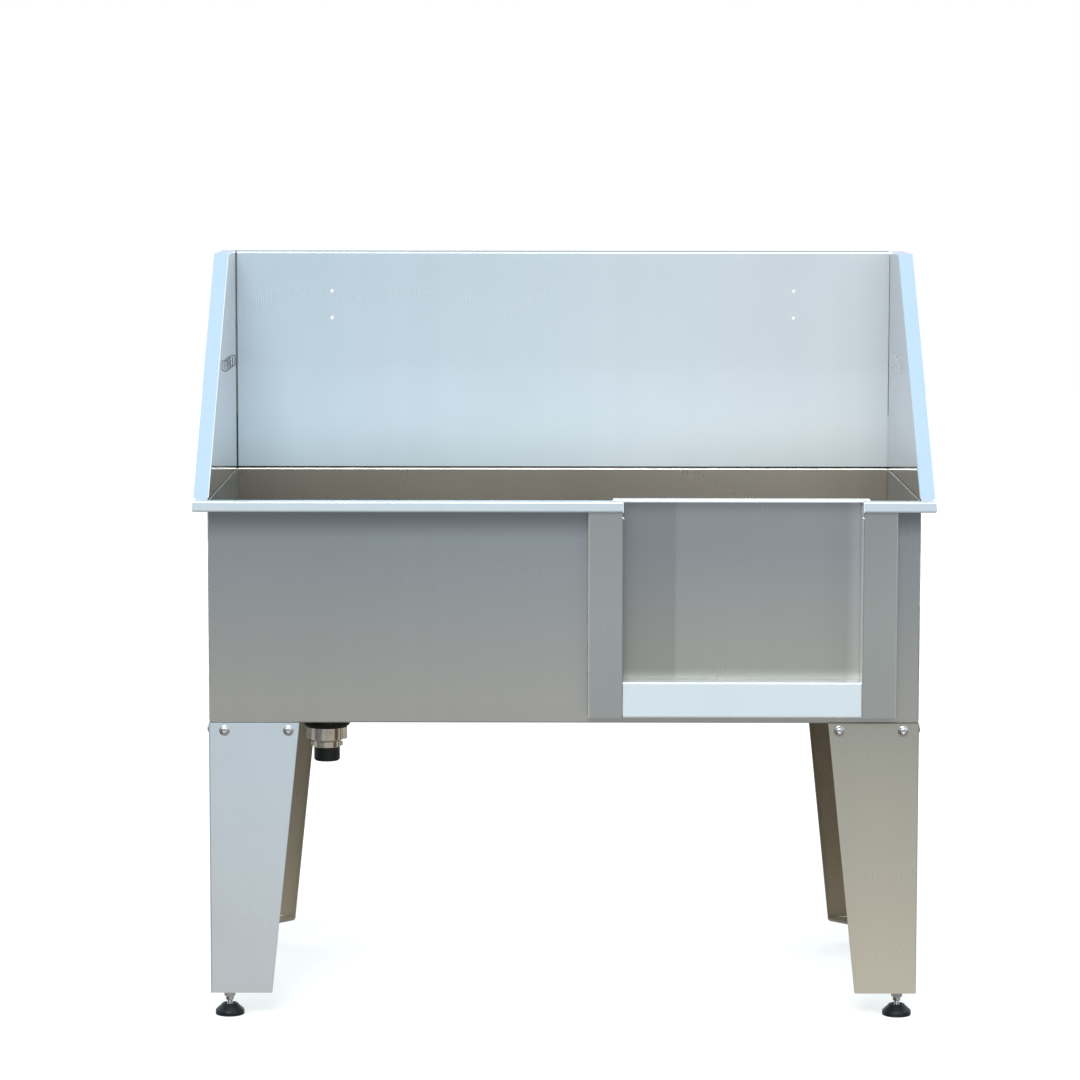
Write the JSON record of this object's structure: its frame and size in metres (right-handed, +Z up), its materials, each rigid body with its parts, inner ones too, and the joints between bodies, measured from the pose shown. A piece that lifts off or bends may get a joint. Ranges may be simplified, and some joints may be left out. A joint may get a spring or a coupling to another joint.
{
  "type": "pet bathtub",
  "caption": "Stainless steel pet grooming tub with splash guard, lift-up door, tapered legs, levelling feet and drain.",
  "frame": {"origin": "on the floor under the centre of the tub's rim rectangle, which is also the centre of the bounding box's bottom face", "axes": "+Z up, +Y towards the back panel, +X to the right when standing in front of the door"},
  "size_m": [1.27, 0.66, 1.308],
  "materials": {
    "sheet_steel": "satin brushed stainless sheet",
    "strap_steel": "polished stainless strap",
    "hardware_steel": "plain stainless fasteners",
    "drain_steel": "polished cast stainless",
    "seal_rubber": "black rubber strip",
    "drain_rubber": "black rubber gasket",
    "tail_plastic": "black moulded plastic",
    "foot_plastic": "black moulded plastic"
  },
  "bodies": {
    "tub": {"front_wall": "sheet_steel", "rear_wall": "sheet_steel", "left_wall": "sheet_steel", "right_wall": "sheet_steel", "rim_end_caps": "sheet_steel", "floor_pan": "sheet_steel", "cross_rail_left": "sheet_steel", "cross_rail_right": "sheet_steel", "splash_back": "sheet_steel", "splash_left": "sheet_steel", "splash_right": "sheet_steel", "door_channel_left": "sheet_steel", "door_channel_right": "sheet_steel", "door_sill": "sheet_steel", "door_guide_left": "sheet_steel", "door_guide_right": "sheet_steel", "door_guide_bottom": "sheet_steel", "tether_loops_left": "strap_steel", "tether_loops_right": "strap_steel", "door_seal": "seal_rubber", "leg_front_left": "sheet_steel", "leg_bracket_front_left": "sheet_steel", "foot_plate_front_left": "sheet_steel", "leg_screws_front_left": "hardware_steel", "leg_nuts_front_left": "hardware_steel", "leg_front_right": "sheet_steel", "leg_bracket_front_right": "sheet_steel", "foot_plate_front_right": "sheet_steel", "leg_screws_front_right": "hardware_steel", "leg_nuts_front_right": "hardware_steel", "leg_rear_left": "sheet_steel", "leg_bracket_rear_left": "sheet_steel", "foot_plate_rear_left": "sheet_steel", "leg_screws_rear_left": "hardware_steel", "leg_nuts_rear_left": "hardware_steel", "leg_rear_right": "sheet_steel", "leg_bracket_rear_right": "sheet_steel", "foot_plate_rear_right": "sheet_steel", "leg_screws_rear_right": "hardware_steel", "leg_nuts_rear_right": "hardware_steel", "foot_weld_nuts": "hardware_steel", "foot_washers": "hardware_steel", "foot_locknuts": "hardware_steel", "drain_body": "drain_steel", "drain_locknut": "drain_steel", "drain_collar": "drain_steel", "drain_gasket": "drain_rubber", "drain_tailpiece": "tail_plastic"},
    "door": {"door_panel": "sheet_steel", "door_lip": "sheet_steel"},
    "foot_stud_front_left": {"foot_stud_front_left": "hardware_steel"},
    "foot_pad_front_left": {"foot_pad_front_left": "foot_plastic"},
    "foot_stud_front_right": {"foot_stud_front_right": "hardware_steel"},
    "foot_pad_front_right": {"foot_pad_front_right": "foot_plastic"},
    "foot_stud_rear_left": {"foot_stud_rear_left": "hardware_steel"},
    "foot_pad_rear_left": {"foot_pad_rear_left": "foot_plastic"},
    "foot_stud_rear_right": {"foot_stud_rear_right": "hardware_steel"},
    "foot_pad_rear_right": {"foot_pad_rear_right": "foot_plastic"},
    "strainer": {"drain_strainer": "drain_steel"}
  },
  "joints": [
    {"name": "door_slide", "type": "slide", "parent": "tub", "child": "door", "axis": [0, 0, 1], "range_m": [0, 0.335]},
    {"name": "strainer_lift", "type": "slide", "parent": "tub", "child": "strainer", "axis": [0, 0, 1], "range_m": [0, 0.06]},
    {"name": "level_front_left", "type": "slide", "parent": "tub", "child": "foot_pad_front_left", "axis": [0, 0, 1], "range_m": [-0.025, 0.001]},
    {"name": "stud_turn_front_left", "type": "hinge", "parent": "foot_pad_front_left", "child": "foot_stud_front_left", "pos_m": [-0.581, -0.276, 0.05], "axis": [0, 0, 1], "range_deg": [-6001, 241]},
    {"name": "level_front_right", "type": "slide", "parent": "tub", "child": "foot_pad_front_right", "axis": [0, 0, 1], "range_m": [-0.025, 0.001]},
    {"name": "stud_turn_front_right", "type": "hinge", "parent": "foot_pad_front_right", "child": "foot_stud_front_right", "pos_m": [0.581, -0.276, 0.05], "axis": [0, 0, 1], "range_deg": [-6001, 241]},
    {"name": "level_rear_left", "type": "slide", "parent": "tub", "child": "foot_pad_rear_left", "axis": [0, 0, 1], "range_m": [-0.025, 0.001]},
    {"name": "stud_turn_rear_left", "type": "hinge", "parent": "foot_pad_rear_left", "child": "foot_stud_rear_left", "pos_m": [-0.581, 0.276, 0.05], "axis": [0, 0, 1], "range_deg": [-6001, 241]},
    {"name": "level_rear_right", "type": "slide", "parent": "tub", "child": "foot_pad_rear_right", "axis": [0, 0, 1], "range_m": [-0.025, 0.001]},
    {"name": "stud_turn_rear_right", "type": "hinge", "parent": "foot_pad_rear_right", "child": "foot_stud_rear_right", "pos_m": [0.581, 0.276, 0.05], "axis": [0, 0, 1], "range_deg": [-6001, 241]}
  ],
  "couplings": [
    {"joint": "stud_turn_front_left", "follows": "level_front_left", "rad_per_m": 4188.8},
    {"joint": "stud_turn_front_right", "follows": "level_front_right", "rad_per_m": 4188.8},
    {"joint": "stud_turn_rear_left", "follows": "level_rear_left", "rad_per_m": 4188.8},
    {"joint": "stud_turn_rear_right", "follows": "level_rear_right", "rad_per_m": 4188.8}
  ]
}
